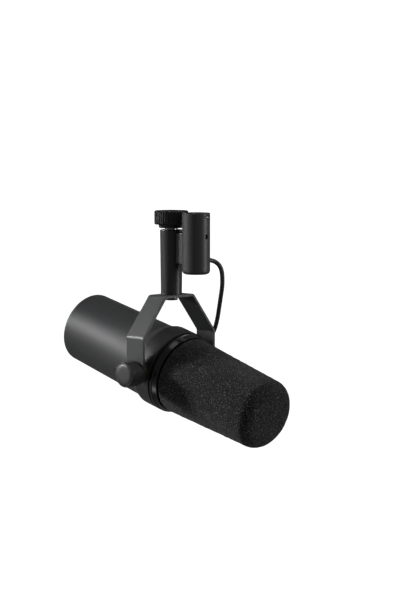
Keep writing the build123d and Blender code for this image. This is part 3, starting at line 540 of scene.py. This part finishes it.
def coated(slot, colour, gloss, grain=0.0005, depth=0.00001, spread=0.18, bevel=0.0004):
    """A coated or moulded surface: colour, roughness, grain size and depth in metres."""
    made = Finish(slot, IOR=1.46)
    slow = made.cloud(SLOW_SIZE)
    fine = made.cloud(grain, detail=2.0, roughness=0.6)
    darker = [channel * (1 - spread) for channel in colour]
    lighter = [channel * (1 + spread) for channel in colour]
    made.set("Base Color", made.mix(slow * SLOW_SHARE + fine * FINE_SHARE, darker, lighter))
    made.set("Roughness", gloss + (slow - MIDDLE) * SLOW_GLOSS + (fine - MIDDLE) * FINE_GLOSS)
    made.relief(fine, depth, bevel)
    finishes[slot] = made


coated("grey_enamel_tube", (0.029, 0.03, 0.031), 0.5, grain=0.0006)
coated("grey_enamel", (0.042, 0.043, 0.044), 0.44, grain=0.0006, depth=0.000012)
coated("bracket_enamel", grey(0.03), 0.5)
print(len(finishes), "enamels")

# %% [markdown]
# The black parts differ mostly in gloss. The bead round the flange is polished, the nut is dull
# moulded plastic, and the knobs have a coarse moulded grain that gives a grip.

# %% Black parts
coated("black_satin", grey(0.018), 0.42)
coated("housing_satin", grey(0.031), 0.42)
coated("flange_black", grey(0.022), 0.42)
coated("gloss_ring", grey(0.004), 0.2, grain=0.002, depth=0.000004)
coated("cage_black", grey(0.012), 0.5)
coated("plate_black", grey(0.02), 0.4)
coated("black_screw", grey(0.015), 0.35)
coated("black_nut", grey(0.006), 0.58, grain=0.0007, depth=0.00002)
coated("knob_black", grey(0.021), 0.5, grain=0.0009, depth=0.00008, spread=0.35, bevel=0.0003)
coated("carrier_plastic", grey(0.012), 0.5)
coated("nylon_black", grey(0.02), 0.45)
coated("black_rubber", grey(0.008), 0.6, grain=0.0004, depth=0.00002)
coated("lead_jacket", grey(0.03), 0.45, grain=0.0008, depth=0.00002, bevel=None)
print(len(finishes), "finishes with the black ones")

# %% [markdown]
# Few of the other moulded and coated parts can be seen from outside: the pale switch levers can,
# and the board, the film of the diaphragm and the transformer's iron are inside the body.

# %% Levers and inner works
coated("switch_lever", (0.45, 0.45, 0.43), 0.4)
coated("board_laminate", (0.02, 0.09, 0.03), 0.4)
coated("diaphragm_film", (0.5, 0.47, 0.38), 0.2)
coated("transformer_iron", (0.05, 0.05, 0.055), 0.5)
print(len(finishes), "coated finishes")

# %% [markdown]
# ## Bare metal
# Turned and plated metal is bright, and its gloss comes from fine lines left by the tool. The
# lines are one-dimensional noise along the body's axis, so they run round it and catch light as
# rings.

# %% Turned and plated metal
STAIN_SIZE = 0.006
STAIN_DARKNESS = 0.72
LINE_GLOSS, STAIN_GLOSS = 0.25, 0.12
LINE_DEPTH = 0.000006


def bare(slot, colour, gloss, line=0.0002):
    """Bare metal with fine tool lines that run round the body's axis."""
    made = Finish(slot, Metallic=1.0)
    along = made.add(
        "ShaderNodeVectorMath", {"operation": "DOT_PRODUCT"}, made.place(), tuple(forward),
        output="Value",
    )
    lines = made.add(
        "ShaderNodeTexNoise", {"noise_dimensions": "1D"}, W=along, Scale=1 / line, Detail=2.0
    )
    stain = made.cloud(STAIN_SIZE)
    darker = [channel * STAIN_DARKNESS for channel in colour]
    made.set("Base Color", made.mix(stain, darker, colour))
    made.set("Roughness", gloss + (lines - MIDDLE) * LINE_GLOSS + (stain - MIDDLE) * STAIN_GLOSS)
    made.relief(lines, LINE_DEPTH)
    finishes[slot] = made


bare("plated_steel", (0.42, 0.42, 0.41), 0.34)
bare("carrier_screw_steel", (0.35, 0.35, 0.34), 0.28)
bare("contact_metal", (0.75, 0.72, 0.6), 0.16)
bare("brass_plain", (0.2, 0.14, 0.07), 0.42)
bare("switch_metal", grey(0.5), 0.35)
bare("cartridge_aluminium", grey(0.6), 0.35)
bare("copper_wire", (0.55, 0.24, 0.11), 0.4, line=0.0003)
bare("soft_iron", grey(0.22), 0.5)
bare("magnet_alloy", (0.2, 0.2, 0.21), 0.5)
print(len(finishes), "finishes so far")

# %% [markdown]
# ## Foam, cloth and felt
# Open-cell foam is a mass of tiny bubbles with torn walls. Light goes into the open cells and is
# lost, and the thin walls catch it as sparks. That shade and those sparks are painted into the
# colour: two sizes of cell laid over each other give the speckle, painted shade in the cells and
# painted sparks on the walls, and the same pattern lifts the surface a little. The relief stays
# shallow and the surface dull, because deep relief under strong lights glitters like crystal.

# %% Soft finishes
SMALL_CELLS = 2.3
LARGE_SHARE, SMALL_SHARE = 0.65, 0.35
WALL_STARTS, WALL_FULL = 0.5, 0.9
PATCH_SIZE = 0.004
PATCH_LEAST, PATCH_RANGE = 0.85, 0.3


def cellular(slot, dark, bright, cell, depth):
    """Open-cell foam or felt: cells painted dark as shade between walls painted bright as sparks,
    cell size in metres.
    """
    made = Finish(slot, Roughness=1.0, IOR=1.24, Sheen_Weight=0.06, Sheen_Roughness=0.6)
    large, small = (
        made.add(
            "ShaderNodeTexVoronoi", {"feature": "F1"}, Vector=made.place(), Scale=scale,
            Randomness=1.0, output="Distance",
        )
        for scale in (1 / cell, SMALL_CELLS / cell)
    )
    # The wall mask sets both the painted sparks of light on the walls and the relief.
    walls = made.step(large * LARGE_SHARE + small * SMALL_SHARE, WALL_STARTS, WALL_FULL)
    patches = made.cloud(PATCH_SIZE)
    share = walls * (PATCH_LEAST + patches * PATCH_RANGE)
    # The colour is painted shade in the cells and painted sparks of light on the walls.
    made.set("Base Color", made.mix(share, dark, bright))
    made.relief(walls, depth)
    finishes[slot] = made


# Each pair of colours is the painted shade of the cells, then the painted sparks on the walls.
cellular("windscreen_foam", grey(0.004), grey(0.165), 0.00065, 0.0002)
cellular("screen_foam", grey(0.01), grey(0.08), 0.001, 0.0004)
cellular("lining_cloth", grey(0.006), grey(0.05), 0.0005, 0.0002)
cellular("grey_felt", grey(0.1), grey(0.3), 0.0006, 0.0003)
print(len(finishes), "finishes in all")

# %% [markdown]
# ## Dressing the parts
# The record says which material slot each machined part belongs to, and each finish is named
# after its slot, so one loop dresses them all. The pieces made here are dressed in the same way.

# %% Put each finish on the surfaces that need it
slot_of_node = {part["node"]: part["material_slot"] for part in frame["record"]["subparts"]}


def wear(thing, slot):
    """Gives a piece the finish of a material slot."""
    thing.data.materials.clear()
    thing.data.materials.append(finishes[slot].material)


for node_name, thing in frame["nodes"].items():
    wear(thing, slot_of_node[node_name])
wear(lead, "lead_jacket")
wear(windscreen, "windscreen_foam")
for cap in knob_caps:
    wear(cap, "knob_black")
print(len(finishes), "finishes on", len(slot_of_node), "nodes")

# %% [markdown]
# ## Stage
# The object hangs inside a large pale shell, over a plain pale floor. Both glow, and only the
# camera sees them: a white room all round would wash the black surfaces out to grey.

# %% Floor and backdrop
FLOOR_HEIGHT = -0.75
STAGE_RADIUS = 9.0
FLOOR_RADIUS = 8.82
CLOUD_ON_STAGE = 0.5


def pale(name):
    """A glowing off-white finish for the stage."""
    made = Finish(name, Roughness=0.9, Emission_Color=(1, 1, 1, 1), Emission_Strength=1.0)
    blotches = made.cloud(CLOUD_ON_STAGE, detail=2.0)
    made.set("Base Color", made.mix(blotches, grey(0.86), grey(0.9)))
    return made.material


def shell(made):
    """The backdrop's mesh."""
    bmesh.ops.create_uvsphere(made, u_segments=64, v_segments=32, radius=STAGE_RADIUS)


def disc(made):
    """The floor's mesh."""
    bmesh.ops.create_circle(made, cap_ends=True, segments=96, radius=FLOOR_RADIUS)
    bmesh.ops.translate(made, verts=made.verts, vec=(0, 0, FLOOR_HEIGHT))


backdrop = piece_from("backdrop", shell)
backdrop.data.materials.append(pale("backdrop_white"))
floor = piece_from("floor", disc)
floor.data.materials.append(pale("floor_white"))
for staged in (backdrop, floor):
    staged.visible_diffuse = False
    staged.visible_glossy = False
backdrop.visible_shadow = False
print("backdrop radius", STAGE_RADIUS, "m, floor at", FLOOR_HEIGHT, "m")

# %% [markdown]
# ## Lights
# A black object is drawn by what it reflects. Tall soft boxes on both sides give each cylinder
# two bright edges and a dark middle. The left one has a grid that narrows its beam, and it aims
# ahead of the tilt axis, so the tube fades towards its rear. A low box draws the streak on the
# polished bead, and a wide one overhead fills the tops.

# %% Soft boxes
FULL_SPREAD = 180


def soft_box(
    name, right, up, back, distance, wide, tall, watts, spread=FULL_SPREAD, aim_ahead=0.0
):
    """A soft box: where it stands in the camera's terms, its size in metres and its power.

    A grid narrows its beam to a spread in degrees, and it may aim ahead of the tilt axis."""
    direction = (camera_right * right + camera_up * up + toward_camera * back).normalized()
    place = pivot + direction * distance
    back_from = (place - (pivot + forward * aim_ahead)).normalized()
    lamp = bpy.data.lights.new(name, "AREA")
    lamp.shape = "RECTANGLE"
    lamp.size = wide
    lamp.size_y = tall
    lamp.energy = watts
    lamp.spread = math.radians(spread)
    holder = bpy.data.objects.new(name, lamp)
    side = Vector((0, 0, 1)).cross(back_from).normalized()
    holder.matrix_world = facing(side, back_from.cross(side), back_from, place)
    SCENE.link(holder)
    print(name, watts, "W at", [round(v, 2) for v in place])


soft_box(
    "left_box", right=-0.92, up=0.36, back=-0.12, distance=0.9, wide=0.16, tall=0.5, watts=0.33,
    spread=13, aim_ahead=0.07,
)
soft_box(
    "low_box", right=-0.88, up=-0.5, back=0.16, distance=1.0, wide=0.12, tall=1.0, watts=1.35
)
soft_box(
    "right_box", right=0.98, up=0.14, back=0.16, distance=1.1, wide=0.2, tall=0.9, watts=4.6
)
soft_box(
    "top_box", right=0.05, up=1.0, back=0.12, distance=1.3, wide=1.0, tall=0.6, watts=2.4
)

# %% [markdown]
# A little light from everywhere keeps the shaded sides readable, and the plain Standard view
# shows the black parts as dark as they are.

# %% Fill light and view
ROOM_LIGHT = 0.16

world = bpy.data.worlds.new("room")
world.use_nodes = True
room = world.node_tree.nodes["Background"]
room.inputs["Color"].default_value = (1, 1, 1, 1)
room.inputs["Strength"].default_value = ROOM_LIGHT
bpy.context.scene.world = world
bpy.context.scene.view_settings.view_transform = "Standard"
print("room light", ROOM_LIGHT)
